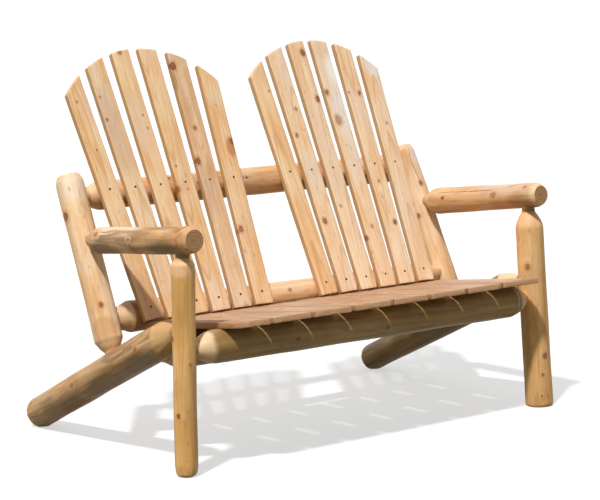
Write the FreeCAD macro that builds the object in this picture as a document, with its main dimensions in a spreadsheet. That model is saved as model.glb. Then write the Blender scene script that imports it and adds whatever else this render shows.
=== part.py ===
import FreeCAD, Part
import math
import os
import Sketcher

Vector = FreeCAD.Vector
doc = FreeCAD.newDocument("log_bench")

# Every size that can be set by itself, in millimetres and degrees.
driving = {
    # front legs, each leaning a little out and forward towards its foot
    "leg_spacing": 1250, "leg_height": 619,
    "leg_left_diameter": 63.5, "leg_left_foot_diameter": 60.5,
    "leg_left_splay": 13.5, "leg_left_rake": 14, "leg_left_top_inset": 0, "leg_left_setback": 0,
    "leg_left_cone_length": 25.5, "leg_left_round_length": 14, "leg_left_round_depth": 8,
    "leg_right_diameter": 80.5, "leg_right_foot_diameter": 82,
    "leg_right_splay": 12, "leg_right_rake": 22, "leg_right_top_inset": 8, "leg_right_setback": 9,
    "leg_right_cone_length": 46, "leg_right_round_length": 6, "leg_right_round_depth": 3,
    "leg_neck": 9,
    # round tenons and their mortises
    "tenon_diameter": 38, "back_rail_tenon_diameter": 48, "tenon_depth": 40,
    "mortise_clearance": 0.15, "mortise_end_room": 3, "shoulder_gap": 0.2,
    # arms
    "arm_right_lift": 11, "arm_rear_height": 570, "arm_overhang": 57, "arm_cone_length": 42,
    "arm_left_front_diameter": 74, "arm_left_rear_diameter": 72,
    "arm_right_front_diameter": 74, "arm_right_rear_diameter": 82,
    "arm_round_length": 35, "arm_round_depth": 12.5,
    # sloping side rails, which are the rear legs too
    "side_rail_height": 390.5, "side_rail_cone_length": 58,
    "side_rail_left_reach": 757, "side_rail_left_end_height": 36.5,
    "side_rail_left_front_diameter": 97.5, "side_rail_left_rear_diameter": 90,
    "side_rail_right_reach": 748, "side_rail_right_end_height": 31,
    "side_rail_right_front_diameter": 98, "side_rail_right_rear_diameter": 86,
    "side_rail_round_length": 9, "side_rail_round_depth": 3.5,
    # back posts
    "post_diameter": 78.6, "post_reach": 333, "post_length": 559, "back_lean": 24.4,
    "post_left_top_inset": 5, "post_right_top_inset": 23, "post_cone_length": 32,
    "post_round_length": 28, "post_round_depth": 10,
    # seat rails; the tops of both are level from side to side
    "front_rail_top_height": 374, "front_rail_left_diameter": 88, "front_rail_right_diameter": 97,
    "front_rail_setback": -4, "front_rail_cone_length": 62,
    "rear_seat_rail_setback": 206, "rear_seat_rail_top_height": 346,
    "rear_seat_rail_diameter": 110, "rear_seat_rail_cone_length": 70,
    # back rails
    "lower_rail_rise": 138.6, "lower_rail_left_diameter": 90, "lower_rail_right_diameter": 68,
    "upper_rail_rise": 495, "upper_rail_left_diameter": 78, "upper_rail_right_diameter": 87,
    "back_rail_cone_length": 42,
    # back slats, in two fans that lean a little to the left
    "slat_width": 61, "slat_thickness": 17, "slat_pitch": 75.7,
    "fan_left_angle": 1.42, "fan_right_angle": 0.97, "fan_left_lean": -1.6, "fan_right_lean": -0.4,
    "fan_inset": 316, "slat_top_rise": 911, "slat_top_trim": 4, "arch_radius": 344, "slat_seat_gap": 0.6,
    # seat slats
    "seat_slat_gap": 12, "seat_slat_thickness": 16.5, "seat_left_clearance": 62, "seat_right_clearance": 19,
    "seat_left_trim": 25, "seat_right_extra": 16,
    "seat_overhang": 102, "seat_back_gap": 5, "rest_gap": 0.2,
    # wood screws
    "screw_length": 45, "screw_shank_diameter": 4, "screw_head_diameter": 6.5,
    "screw_head_height": 3.2, "screw_tip_length": 6, "screw_sink": 1.2, "screw_clearance": 0.1,
    "screw_socket_diameter": 3.2, "screw_socket_depth": 1.8,
    "lower_screw_lift": 7, "seat_screw_inset": 19, "spare_screw_offset": 48,
    # how far a cutting shape runs past what it cuts
    "overrun": 30,
}
slats_per_fan = 6
seat_slats = 8
# (share of the rounding's length, share of its depth) from the log's full radius to its end face
round_shares = ((0.0, 0.0), (0.35, 0.1), (0.7, 0.4), (0.9, 0.72), (1.0, 1.0))

sheet = doc.addObject("Spreadsheet::Sheet", "sizes")
rows = []


def put(name, value):
    rows.append(name)
    cell = "B%d" % len(rows)
    sheet.set("A%d" % len(rows), name)
    sheet.set(cell, repr(round(float(value), 6)))
    sheet.setAlias(cell, name)
    return "sizes." + name


for name, value in driving.items():
    put(name, value)
doc.recompute()


def size(name):
    return float(sheet.get(name))


def along(start, end, share):
    return start + (end - start) * share


def at_height(start, end, height):
    return along(start, end, (height - start.z) / (end.z - start.z))


def at_depth(start, end, depth):
    return along(start, end, (depth - start.y) / (end.y - start.y))


def unit(vector):
    return vector / vector.Length


def turned(point, direction, across=None):
    """Placement that puts +Z along direction, and +X as near as it can be to across."""
    if across is None:
        return FreeCAD.Placement(point, FreeCAD.Rotation(Vector(0, 0, 1), direction))
    return FreeCAD.Placement(point, FreeCAD.Rotation(across, Vector(), direction, "ZXY"))


# axes and radii of the logs
half = size("leg_spacing") / 2
lean = math.radians(size("back_lean"))
right = Vector(1, 0, 0)
up_back = Vector(0, math.sin(lean), math.cos(lean))
to_front = Vector(0, -math.cos(lean), math.sin(lean))
sides = {"left": -1, "right": 1}

rear_extents = []
for side in sides:
    fall = size("side_rail_height") - size("side_rail_%s_end_height" % side)
    end_face = size("side_rail_%s_rear_diameter" % side) / 2 - size("side_rail_round_depth")
    reach = size("side_rail_%s_reach" % side)
    rear_extents.append(reach + end_face * fall / math.hypot(fall, reach))
# The origin is on the ground under the middle of the bench, so the leg line stands in front of it.
leg_line = (size("seat_overhang") - max(rear_extents)) / 2

logs = {}


def log(label, start, end, start_diameter, end_diameter):
    logs[label] = (start, end, size(start_diameter) / 2, size(end_diameter) / 2)


def radius_at(label, point):
    start, end, start_radius, end_radius = logs[label]
    share = (point - start).dot(unit(end - start)) / (end - start).Length
    return start_radius + (end_radius - start_radius) * share


for side, sign in sides.items():
    leg, rail, post, arm = "front_leg_" + side, "side_rail_" + side, "back_post_" + side, "arm_" + side
    own = "leg_" + side
    arm_height = size("leg_height") + (size("arm_right_lift") if side == "right" else 0)
    foot = Vector(sign * (half + size(own + "_splay")), leg_line - size(own + "_rake"), 0)
    top = Vector(sign * (half - size(own + "_top_inset")), leg_line + size(own + "_setback"), arm_height)
    log(leg, foot, top, own + "_foot_diameter", own + "_diameter")
    rail_end = Vector(sign * half, leg_line + size(rail + "_reach"), size(rail + "_end_height"))
    log(rail, at_height(foot, top, size("side_rail_height")), rail_end,
        rail + "_front_diameter", rail + "_rear_diameter")
    post_foot = at_depth(*logs[rail][:2], leg_line + size("post_reach"))
    post_top = post_foot + up_back * size("post_length")
    post_top.x = sign * (half - size("post_%s_top_inset" % side))
    log(post, post_foot, post_top, "post_diameter", "post_diameter")
    log(arm, at_height(post_foot, post_top, size("arm_rear_height")), top,
        arm + "_rear_diameter", arm + "_front_diameter")

front_ends, rear_ends = [], []
for side in sides:
    height = size("front_rail_top_height") - size("front_rail_%s_diameter" % side) / 2
    point = at_height(*logs["front_leg_" + side][:2], height)
    front_ends.append(Vector(point.x, leg_line + size("front_rail_setback"), height))
    point = at_depth(*logs["side_rail_" + side][:2], leg_line + size("rear_seat_rail_setback"))
    height = size("rear_seat_rail_top_height") - size("rear_seat_rail_diameter") / 2
    rear_ends.append(Vector(point.x, point.y, height))
log("front_seat_rail", *front_ends, "front_rail_left_diameter", "front_rail_right_diameter")
log("rear_seat_rail", *rear_ends, "rear_seat_rail_diameter", "rear_seat_rail_diameter")

slat_back = size("post_diameter") / 2
for rail in ("lower", "upper"):
    ends = []
    for side in sides:
        inward = slat_back - size("%s_rail_%s_diameter" % (rail, side)) / 2
        point = along(*logs["back_post_" + side][:2], size(rail + "_rail_rise") / size("post_length"))
        ends.append(point + to_front * inward)
    log(rail + "_back_rail", *ends, rail + "_rail_left_diameter", rail + "_rail_right_diameter")

# the seat's plane, which lies on the front rail and the rear seat rail
front_centre = along(*front_ends, 0.5)
rear_centre = along(*rear_ends, 0.5)
front_radius = radius_at("front_seat_rail", front_centre) + size("rest_gap")
rear_radius = radius_at("rear_seat_rail", rear_centre) + size("rest_gap")
run = Vector(0, rear_centre.y - front_centre.y, rear_centre.z - front_centre.z)
seat_angle = math.atan2(run.z, run.y) + math.asin((rear_radius - front_radius) / run.Length)
seat_back = Vector(0, math.cos(seat_angle), math.sin(seat_angle))
seat_up = Vector(0, -math.sin(seat_angle), math.cos(seat_angle))
seat_under = Vector(0, front_centre.y, front_centre.z) + seat_up * front_radius
seat_top = seat_under + seat_up * size("seat_slat_thickness")

seat_start = (leg_line - size("seat_overhang") - seat_under.y) / seat_back.y
keep_off = size("lower_rail_left_diameter") / 2 + size("seat_back_gap")
rail_middle = logs["lower_back_rail"][0]
seat_ends = []
for face in (seat_top, seat_under):
    offset = Vector(0, rail_middle.y, rail_middle.z) - face
    height = offset.dot(seat_up)
    seat_ends.append(offset.dot(seat_back) - math.sqrt(max(0, keep_off ** 2 - height ** 2)))
put("seat_slat_length", min(seat_ends) - seat_start)

# the back's front plane, and where the slats' lower ends clear the seat
foot_middle = along(logs["back_post_left"][0], logs["back_post_right"][0], 0.5)
back_face = Vector(0, foot_middle.y, foot_middle.z) + to_front * slat_back
bottom_rise = (size("slat_seat_gap") - (back_face - seat_top).dot(seat_up)) / up_back.dot(seat_up)
put("slat_board_length", size("slat_top_rise") - bottom_rise + size("slat_top_trim"))
fan_middle = {side: sign * (half - size("fan_inset")) for side, sign in sides.items()}
doc.recompute()

# how pieces are made
nodes = []


def finish(made, label):
    made.Label = label
    nodes.append(made)
    return made


def new_sketch(body, label):
    sketch = body.newObject("Sketcher::SketchObject", label)
    plane = [item for item in body.Origin.OriginFeatures if item.Role == "XZ_Plane"][0]
    sketch.AttachmentSupport = [(plane, "")]
    sketch.MapMode = "FlatFace"
    return sketch


def turned_body(label, profile):
    """Solid of revolution about its own Z axis; profile lists (radius, height) as expressions."""
    body = doc.addObject("PartDesign::Body", label + "_turned")
    sketch = new_sketch(body, label + "_profile")
    points = [Vector(float(sheet.evalExpression(radius)), float(sheet.evalExpression(height)), 0)
              for radius, height in profile]
    count = len(points)
    for index in range(count):
        sketch.addGeometry(Part.LineSegment(points[index], points[(index + 1) % count]), False)
    for index in range(count):
        sketch.addConstraint(Sketcher.Constraint("Coincident", index, 2, (index + 1) % count, 1))
    for index, pair in enumerate(profile):
        values = (points[index].x, points[index].y)
        for kind, expression, value in zip(("DistanceX", "DistanceY"), pair, values):
            added = sketch.addConstraint(Sketcher.Constraint(kind, -1, 1, index, 1, value))
            if expression != "0":
                sketch.setExpression("Constraints[%d]" % added, expression)
    doc.recompute()
    turn = body.newObject("PartDesign::Revolution", label + "_turn")
    turn.Profile = sketch
    turn.ReferenceAxis = (sketch, ["V_Axis"])
    turn.Angle = 360
    body.Tip = turn
    return body


mortises = {}


def tenon_end(label, point, outward, receiver, cone_length, tenon="tenon_diameter", neck=0):
    """Sharpened end let into another log: stations (radius, distance past the point), inside to outside."""
    other_start, other_end = logs[receiver][:2]
    receiver_radius = radius_at(receiver, point)
    cosine = abs(outward.dot(unit(other_end - other_start)))
    sine = math.sqrt(1 - cosine ** 2)
    surface = receiver_radius / sine
    tip = surface - size("tenon_depth")
    shoulder = surface + size(tenon) / 2 * cosine / sine + size("shoulder_gap") + neck
    cone = shoulder + size(cone_length)

    hole = doc.addObject("Part::Cylinder", label + "_mortise")
    hole.setExpression("Radius", "sizes.%s / 2 + sizes.mortise_clearance" % tenon)
    outside = receiver_radius + size("overrun")
    length = put("mortise_%d_length" % len(rows), outside + size("mortise_end_room") - tip)
    hole.setExpression("Height", length)
    hole.Placement = turned(point - outward * outside, outward)
    mortises.setdefault(receiver, []).append(hole)

    inner = "sizes.%s / 2" % tenon
    full = put("%s_cone_radius_%d" % (label, len(rows)), radius_at(label, point - outward * cone))
    return [(full, -cone), (inner, -shoulder), (inner, -tip), ("0", -tip)]


def round_end(label, point, outward, past, length, depth):
    """Free end, rounded: stations (radius, distance past the point), inside to outside."""
    stations = []
    for run_share, depth_share in round_shares:
        distance = past - size(length) * (1 - run_share)
        full = put("%s_end_radius_%d" % (label, len(rows)), radius_at(label, point + outward * distance))
        stations.append(("%s - sizes.%s * %s" % (full, depth, depth_share), distance))
    return stations + [("0", past)]


def log_body(label, start_stations, end_stations):
    start, end = logs[label][:2]
    direction = unit(end - start)
    length = (end - start).Length
    stations = [(radius, -distance) for radius, distance in reversed(start_stations)]
    stations += [(radius, length + distance) for radius, distance in end_stations]
    first = stations[0][1]
    profile = []
    for radius, distance in stations:
        offset = distance - first
        profile.append((radius, put("%s_station_%d" % (label, len(rows)), offset) if offset else "0"))
    doc.recompute()
    body = turned_body(label, profile)
    body.Placement = turned(start + direction * first, direction)
    return body


def cut_from(base, tools, label):
    if not tools:
        return finish(base, label)
    tool = tools[0]
    if len(tools) > 1:
        tool = doc.addObject("Part::Compound", label + "_cuts")
        tool.Links = tools
    result = doc.addObject("Part::Cut", label + "_cut")
    result.Base = base
    result.Tool = tool
    return finish(result, label)


def board(label, width, length, thickness):
    """Board standing on its lower end: width along X, length along Z, thickness towards -Y."""
    body = doc.addObject("PartDesign::Body", label + "_board")
    sketch = new_sketch(body, label + "_outline")
    wide, tall = float(sheet.evalExpression(width)), float(sheet.evalExpression(length))
    ends = ((-1, 0), (1, 0), (1, tall), (-1, tall))
    corners = [Vector(sign * wide / 2, height, 0) for sign, height in ends]
    for index in range(4):
        sketch.addGeometry(Part.LineSegment(corners[index], corners[(index + 1) % 4]), False)
    for index in range(4):
        sketch.addConstraint(Sketcher.Constraint("Coincident", index, 2, (index + 1) % 4, 1))
    sketch.addConstraint(Sketcher.Constraint("Horizontal", 0))
    sketch.addConstraint(Sketcher.Constraint("Horizontal", 2))
    sketch.addConstraint(Sketcher.Constraint("Vertical", 1))
    sketch.addConstraint(Sketcher.Constraint("Symmetric", 0, 1, 0, 2, -1, 1))
    added = sketch.addConstraint(Sketcher.Constraint("DistanceX", 0, 1, 0, 2, wide))
    sketch.setExpression("Constraints[%d]" % added, width)
    added = sketch.addConstraint(Sketcher.Constraint("DistanceY", 1, 1, 1, 2, tall))
    sketch.setExpression("Constraints[%d]" % added, length)
    doc.recompute()
    pad = body.newObject("PartDesign::Pad", label + "_pad")
    pad.Profile = sketch
    pad.setExpression("Length", thickness)
    body.Tip = pad
    return body


# screws
def screw_profile(spread, socket):
    """Countersunk screw from its tip up to its head; spread widens it all round to make its hole."""
    head = "(sizes.screw_head_diameter / 2 + %s)" % spread
    shank = "(sizes.screw_shank_diameter / 2 + %s)" % spread
    tip = "0" if spread == "0" else "-%s" % spread
    end = "sizes.screw_length"
    points = [("0", tip), (shank, "sizes.screw_tip_length"), (shank, end + " - sizes.screw_head_height"),
              (head, end + " - sizes.screw_head_height / 4")]
    if socket:
        return points + [(head, end), ("sizes.screw_socket_diameter / 2", end),
                         ("0", end + " - sizes.screw_socket_depth")]
    return points + [(head, end + " + sizes.overrun"), ("0", end + " + sizes.overrun")]


screw = turned_body("screw", screw_profile("0", True))
screw_hole = turned_body("screw_hole", screw_profile("sizes.screw_clearance", False))
doc.recompute()
screw_sets = {"back_screws": [], "seat_screws": []}
holes_in = {}


def drive_screw(group, surface, outward, pieces):
    """One screw with its head just below the surface, and its hole in the pieces it passes through."""
    place = turned(surface - outward * (size("screw_sink") + size("screw_length")), outward)
    screw_sets[group].append(place)
    for piece in pieces:
        holes_in.setdefault(piece, []).append(place)


def copies(label, body, places):
    """The same turned piece at each of its places, as separate solids."""
    shapes = []
    for place in places:
        shape = body.Shape.copy()
        shape.Placement = place
        shapes.append(shape)
    group = doc.addObject("Part::Feature", label)
    group.Shape = Part.makeCompound(shapes)
    return group


# back slats: straight boards, fanned out, with tops cut to an arch
def arch_waste(side):
    """What lies above the arch of one fan: a block less a disc, centred on the fan's own lean."""
    lean_side = math.radians(size("fan_%s_lean" % side))
    rise = size("slat_top_rise") - size("arch_radius")
    shift = fan_middle[side] + (rise - bottom_rise) * math.tan(lean_side)
    centre = back_face + right * shift + up_back * rise
    behind = centre - to_front * size("overrun")
    disc = doc.addObject("Part::Cylinder", side + "_arch_disc")
    disc.setExpression("Radius", "sizes.arch_radius")
    disc.setExpression("Height", "sizes.slat_thickness + 2 * sizes.overrun")
    disc.Placement = turned(behind, to_front)
    block = doc.addObject("Part::Box", side + "_arch_block")
    block.setExpression("Length", "2 * (sizes.arch_radius + sizes.overrun)")
    block.setExpression("Width", "sizes.slat_thickness + 2 * sizes.overrun")
    block.setExpression("Height", "sizes.arch_radius + sizes.overrun")
    depth = size("slat_thickness") + 2 * size("overrun")
    corner = behind + to_front * depth - right * (size("arch_radius") + size("overrun"))
    block.Placement = turned(corner, up_back, right)
    waste = doc.addObject("Part::Cut", side + "_arch_waste")
    waste.Base = block
    waste.Tool = disc
    return waste


screw_rises = {"lower": size("lower_rail_rise") + size("lower_screw_lift"), "upper": size("upper_rail_rise")}
for side in sides:
    waste = arch_waste(side)
    for index in range(slats_per_fan):
        label = "back_slat_%s_%d" % (side, index + 1)
        step = index - (slats_per_fan - 1) / 2
        angle = math.radians(size("fan_%s_angle" % side) * step + size("fan_%s_lean" % side))
        direction = up_back * math.cos(angle) + right * math.sin(angle)
        across = right * math.cos(angle) - up_back * math.sin(angle)
        foot = back_face + right * (fan_middle[side] + step * size("slat_pitch")) + up_back * bottom_rise
        foot += to_front * size("rest_gap")
        body = board(label, "sizes.slat_width", "sizes.slat_board_length", "sizes.slat_thickness")
        # a leaning board is lifted until its lower corner clears the seat too
        lift = size("slat_width") / 2 * math.tan(abs(angle))
        body.Placement = turned(foot + direction * lift, direction, across)
        for rail, rise in screw_rises.items():
            face = foot + direction * (rise - bottom_rise) / math.cos(angle)
            face += to_front * size("slat_thickness")
            drive_screw("back_screws", face, to_front, (label, rail + "_back_rail"))
        cut_from(body, [waste, copies(label + "_holes", screw_hole, holes_in[label])], label)

# one spare screw stands in the upper back rail, between the fans
rail_start, rail_end = logs["upper_back_rail"][:2]
spare_share = (-size("spare_screw_offset") - rail_start.x) / (rail_end.x - rail_start.x)
spare = along(rail_start, rail_end, spare_share)
spare += to_front * radius_at("upper_back_rail", spare)
drive_screw("back_screws", spare, to_front, ("upper_back_rail",))

# seat slats, from front to back; the outer two are cut to fit
left_edge = logs["side_rail_left"][0].x + logs["side_rail_left"][2] + size("seat_left_clearance")
right_edge = logs["side_rail_right"][0].x - logs["side_rail_right"][2] - size("seat_right_clearance")
gap = size("seat_slat_gap")
boards = right_edge - left_edge - (seat_slats - 1) * gap + size("seat_left_trim") - size("seat_right_extra")
width = put("seat_slat_width", boards / seat_slats)
first_width = put("first_seat_slat_width", boards / seat_slats - size("seat_left_trim"))
last_width = put("last_seat_slat_width", boards / seat_slats + size("seat_right_extra"))
doc.recompute()
edge = left_edge
for index in range(seat_slats):
    label = "seat_slat_%d" % (index + 1)
    own = first_width if index == 0 else last_width if index == seat_slats - 1 else width
    wide = float(sheet.evalExpression(own))
    middle = right * (edge + wide / 2)
    body = board(label, own, "sizes.seat_slat_length", "sizes.seat_slat_thickness")
    body.Placement = turned(seat_under + seat_back * seat_start + middle, seat_back, right)
    for rail, centre in (("front_seat_rail", front_centre), ("rear_seat_rail", rear_centre)):
        reach = (Vector(0, centre.y, centre.z) - seat_top).dot(seat_back)
        for sign in sides.values():
            inset = right * sign * (wide / 2 - size("seat_screw_inset"))
            face = seat_top + seat_back * reach + middle + inset
            drive_screw("seat_screws", face, seat_up, (label, rail))
    cut_from(body, [copies(label + "_holes", screw_hole, holes_in[label])], label)
    edge += wide + gap

# logs
blanks = {}


def ends_of(label):
    start, end = logs[label][:2]
    return (start, unit(start - end)), (end, unit(end - start))


for label, receiver, cone_length, tenon in (
        ("front_seat_rail", "front_leg_", "front_rail_cone_length", "tenon_diameter"),
        ("rear_seat_rail", "side_rail_", "rear_seat_rail_cone_length", "tenon_diameter"),
        ("lower_back_rail", "back_post_", "back_rail_cone_length", "back_rail_tenon_diameter"),
        ("upper_back_rail", "back_post_", "back_rail_cone_length", "back_rail_tenon_diameter")):
    stations = [tenon_end(label, point, outward, receiver + side, cone_length, tenon)
                for side, (point, outward) in zip(sides, ends_of(label))]
    blanks[label] = log_body(label, *stations)

for side in sides:
    leg, rail, post, arm = "front_leg_" + side, "side_rail_" + side, "back_post_" + side, "arm_" + side
    own = "leg_" + side
    at_foot, at_top = ends_of(leg)
    # the leg starts a little below the ground, where its foot is cut level
    trim = size(own + "_foot_diameter") / 2 * math.hypot(at_top[1].x, at_top[1].y) / at_top[1].z
    foot_stations = round_end(leg, *at_foot, 0, own + "_round_length", own + "_round_depth")
    foot_stations[-1:] = [(foot_stations[-2][0], trim), ("0", trim)]
    blanks[leg] = log_body(leg, foot_stations,
                           tenon_end(leg, *at_top, arm, own + "_cone_length", neck=size("leg_neck")))
    at_front, at_rear = ends_of(rail)
    blanks[rail] = log_body(rail, tenon_end(rail, *at_front, leg, "side_rail_cone_length"),
                            round_end(rail, *at_rear, 0, "side_rail_round_length", "side_rail_round_depth"))
    at_foot, at_top = ends_of(post)
    blanks[post] = log_body(post, tenon_end(post, *at_foot, rail, "post_cone_length"),
                            round_end(post, *at_top, 0, "post_round_length", "post_round_depth"))
    at_rear, at_front = ends_of(arm)
    front_stations = round_end(arm, *at_front, size("arm_overhang"), "arm_round_length", "arm_round_depth")
    blanks[arm] = log_body(arm, tenon_end(arm, *at_rear, post, "arm_cone_length"), front_stations)

# the ground, which cuts the four feet level
ground = doc.addObject("Part::Box", "ground")
ground.setExpression("Length", "2 * sizes.leg_spacing")
ground.setExpression("Width", "4 * max(sizes.side_rail_left_reach; sizes.side_rail_right_reach)")
ground.setExpression("Height", "sizes.side_rail_left_rear_diameter + sizes.side_rail_right_rear_diameter")
doc.recompute()
ground.Placement.Base = Vector(-ground.Length.Value / 2, -ground.Width.Value / 2, -ground.Height.Value)

doc.recompute()
for label, blank in blanks.items():
    tools = list(mortises.get(label, []))
    if label.startswith(("front_leg_", "side_rail_")):
        tools.append(ground)
    if label in holes_in:
        tools.append(copies(label + "_holes", screw_hole, holes_in[label]))
    cut_from(blank, tools, label)
for label, places in screw_sets.items():
    finish(copies(label, screw, places), label)

doc.recompute()
faults = [item.Name for item in doc.Objects if "Invalid" in item.State or "Error" in item.State]
for node in nodes:
    if node.Shape.isNull() or not node.Shape.isValid() or not node.Shape.Solids:
        faults.append(node.Label)
if faults:
    raise SystemExit("failed: " + ", ".join(faults))

os.makedirs("parts", exist_ok=True)
for node in nodes:
    node.Shape.exportStep("parts/%s.step" % node.Label)
    box = node.Shape.BoundBox
    print("%-20s %d solid(s)  %.0f cm3  x %.0f..%.0f  y %.0f..%.0f  z %.0f..%.0f" % (
        node.Label, len(node.Shape.Solids), node.Shape.Volume / 1000,
        box.XMin, box.XMax, box.YMin, box.YMax, box.ZMin, box.ZMax))
print("leg line at Y %.3f, slats start at rise %.2f, seat angle %.3f" % (
    leg_line, bottom_rise, math.degrees(seat_angle)))
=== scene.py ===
import math
import random
import bmesh
import bpy
import numpy as np
from mathutils import Matrix, Vector, noise


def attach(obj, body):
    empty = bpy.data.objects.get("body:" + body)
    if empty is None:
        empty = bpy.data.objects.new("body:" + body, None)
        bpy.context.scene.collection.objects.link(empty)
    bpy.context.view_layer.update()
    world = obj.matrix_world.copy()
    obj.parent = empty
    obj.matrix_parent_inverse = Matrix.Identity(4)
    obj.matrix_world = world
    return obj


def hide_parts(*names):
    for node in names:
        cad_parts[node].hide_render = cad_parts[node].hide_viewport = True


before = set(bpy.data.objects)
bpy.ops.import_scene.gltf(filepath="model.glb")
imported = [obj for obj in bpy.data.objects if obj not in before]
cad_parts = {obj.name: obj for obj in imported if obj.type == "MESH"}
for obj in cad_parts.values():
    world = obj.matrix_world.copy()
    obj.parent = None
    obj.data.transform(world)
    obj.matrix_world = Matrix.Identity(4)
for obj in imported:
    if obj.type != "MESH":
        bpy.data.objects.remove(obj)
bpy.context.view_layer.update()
mm = 0.001
print("frame loaded:", len(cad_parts), "nodes")

# the photograph's camera, in the bench's own frame; places in millimetres, angles in degrees
photoView = {
    "width": 600, "height": 500, "focalPixels": 2010.8, "sensor": 36,
    "place": (-3521.9, -4587.7, 1331.9), "yaw": 37.65, "pitch": -8.23, "roll": -0.95, "clipEnd": 200,
}
cameraPlace = Vector(photoView["place"]) * mm


def viewAxes():
    yaw, pitch, roll = (math.radians(photoView[name]) for name in ("yaw", "pitch", "roll"))
    forward = Vector((math.sin(yaw) * math.cos(pitch), math.cos(yaw) * math.cos(pitch), math.sin(pitch)))
    level = Vector((math.cos(yaw), -math.sin(yaw), 0))
    upright = level.cross(forward)
    right = level * math.cos(roll) + upright * math.sin(roll)
    return right, upright * math.cos(roll) - level * math.sin(roll), forward


viewRight, viewUp, viewForward = viewAxes()


def along(start, end, share):
    return start + (end - start) * share


def pixelRay(pixel):
    across = (pixel[0] - photoView["width"] / 2) / photoView["focalPixels"]
    down = (pixel[1] - photoView["height"] / 2) / photoView["focalPixels"]
    return (viewForward + viewRight * across - viewUp * down).normalized()


def addObject(name, data):
    made = bpy.data.objects.new(name, data)
    bpy.context.scene.collection.objects.link(made)
    return made


def addMesh(name, bm):
    mesh = bpy.data.meshes.new(name)
    bm.to_mesh(mesh)
    bm.free()
    return addObject(name, mesh)


def placeCamera():
    data = bpy.data.cameras.new("photoCamera")
    data.sensor_width = photoView["sensor"]
    data.sensor_fit = "HORIZONTAL"
    data.lens = photoView["focalPixels"] / photoView["width"] * photoView["sensor"]
    data.clip_end = photoView["clipEnd"]
    camera = addObject("photoCamera", data)
    turn = Matrix((viewRight, viewUp, -viewForward)).transposed().to_4x4()
    camera.matrix_world = Matrix.Translation(cameraPlace) @ turn
    bpy.context.scene.camera = camera


# reading the CAD nodes
ringReading = {"spreads": (1.5, 0.3, 0.05), "fewestPoints": 16, "sectors": 12, "fewestSectors": 9}
circleReading = {"rounds": 4, "closeEnough": 0.05, "mostError": 2}
towardsShare = 0.7  # least cosine between a face's normal and the way asked for


def cadPoints(node):
    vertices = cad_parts[node].data.vertices
    points = np.array([vertex.co for vertex in vertices], float)
    return np.unique(points.round(5), axis=0)


def fitCircle(points):
    # points off the circle, such as those of a screw hole that cuts it, are left out in turn
    kept = points
    for _ in range(circleReading["rounds"]):
        matrix = np.c_[2 * kept, np.ones(len(kept))]
        found = np.linalg.lstsq(matrix, (kept ** 2).sum(1), rcond=None)[0]
        away = np.hypot(*(points - found[:2]).T)
        error = abs(away - np.median(away))
        most = max(circleReading["closeEnough"] * mm, circleReading["mostError"] * np.median(error))
        kept = points[error <= most]
    return found[:2], float(np.median(away))


def placeMatrix(origin, across, lengthwise):
    # local Z runs along the piece and local X across it
    across = (across - lengthwise * across.dot(lengthwise)).normalized()
    turn = Matrix((across, lengthwise.cross(across), lengthwise)).transposed().to_4x4()
    return Matrix.Translation(origin) @ turn


def readLog(node, lengthwise, across):
    # a turned log's place, and its (distance, radius) stations, from the rings of points on its CAD node
    points = cadPoints(node)
    middle = points.mean(0)
    axis = np.linalg.svd(points - middle, full_matrices=False)[2][0]
    for spread in ringReading["spreads"]:
        sideways = np.linalg.svd(axis[None, :])[2][1:]
        distances = (points - middle) @ axis
        order = np.argsort(distances)
        cuts = np.where(np.diff(distances[order]) > spread * mm)[0] + 1
        rings = []
        for group in np.split(order, cuts):
            if len(group) < ringReading["fewestPoints"]:
                continue
            flat = (points[group] - middle) @ sideways.T
            centre, radius = fitCircle(flat)
            turns = np.arctan2(*(flat - centre).T) / (2 * math.pi) * ringReading["sectors"]
            if len(set(np.floor(turns))) < ringReading["fewestSectors"]:
                continue
            place = distances[group].mean()
            rings.append((place, radius, middle + axis * place + centre @ sideways))
        centres = np.array([ring[2] for ring in rings])
        middle = centres.mean(0)
        axis = np.linalg.svd(centres - middle, full_matrices=False)[2][0]
    direction = Vector(axis)
    if direction.dot(Vector(lengthwise)) < 0:
        direction.negate()
    stations = sorted(((Vector(ring[2]) - Vector(middle)).dot(direction), ring[1]) for ring in rings)
    start = Vector(middle) + direction * stations[0][0]
    stations = [(distance - stations[0][0], radius) for distance, radius in stations]
    return placeMatrix(start, Vector(across), direction), stations


def faceNormal(node, towards):
    # the normal of the largest flat face that looks about the way asked for
    best = max(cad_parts[node].data.polygons,
               key=lambda face: face.area if face.normal.dot(Vector(towards)) > towardsShare else 0)
    return best.normal.copy()


def readBoard(node, outward):
    # a board's place, with its origin in the middle of its lower end, and its extents in its own axes
    normal = faceNormal(node, outward)
    across = faceNormal(node, (1, 0, 0))
    matrix = placeMatrix(Vector(), across, across.cross(-normal).normalized())
    local = np.array([matrix.inverted() @ Vector(point) for point in cadPoints(node)])
    low, high = local.min(0), local.max(0)
    corner = np.array(((low[0] + high[0]) / 2, (low[1] + high[1]) / 2, low[2]))
    return Matrix.Translation(matrix @ Vector(corner)) @ matrix, Vector(high - low), local - corner


print("camera and readers ready")


# nodes and colours
def linear(hexText):
    # a colour's text, undone from its sRGB curve, with an alpha of one
    values = [int(hexText[index:index + 2], 16) / 255 for index in (1, 3, 5)]
    undone = [value / 12.92 if value < 0.04045 else ((value + 0.055) / 1.055) ** 2.4 for value in values]
    return undone + [1.0]


def newMaterial(name):
    material = bpy.data.materials.new(name)
    material.use_nodes = True
    material.node_tree.nodes.clear()
    return material, material.node_tree


def addNode(tree, kind, settings=None, links=None):
    node = tree.nodes.new(kind)
    for name, value in (settings or {}).items():
        if isinstance(name, str) and hasattr(node, name):
            setattr(node, name, value)
        else:
            node.inputs[name].default_value = value
    for name, source in (links or {}).items():
        tree.links.new(source.outputs[0] if hasattr(source, "outputs") else source, node.inputs[name])
    return node


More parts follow.
